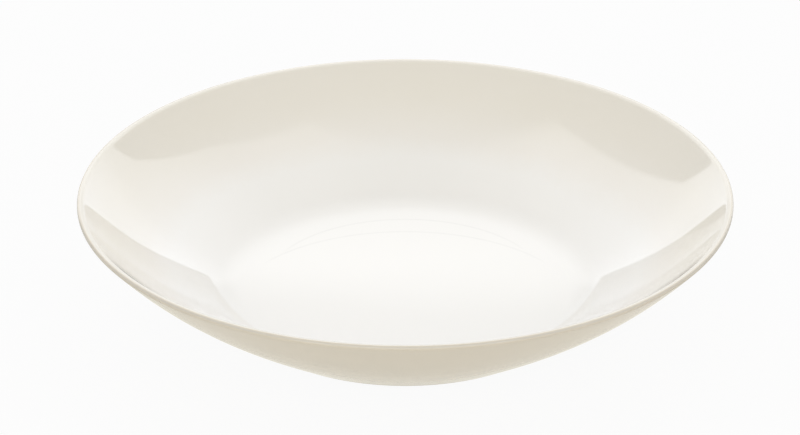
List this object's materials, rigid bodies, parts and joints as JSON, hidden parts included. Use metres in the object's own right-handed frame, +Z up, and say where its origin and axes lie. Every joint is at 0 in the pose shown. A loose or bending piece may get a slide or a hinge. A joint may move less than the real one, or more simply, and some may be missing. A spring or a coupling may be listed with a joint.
{
  "type": "deep plate",
  "caption": "Round deep plate with a sloping rimless wall that turns softly into the well, and a low foot ring, fired clay under a thin glossy ivory glaze.",
  "frame": {"origin": "centre of the foot ring, on the table", "axes": "+Z up along the plate's axis of revolution, X and Y along the table"},
  "size_m": [0.22, 0.22, 0.0431],
  "materials": {
    "fired_clay": "matte, ground smooth on the foot ring",
    "ivory_glaze": "glossy"
  },
  "bodies": {
    "root": {"plate_body": "fired_clay", "glaze_coat": "ivory_glaze", "base_glaze": "ivory_glaze"}
  },
  "joints": []
}
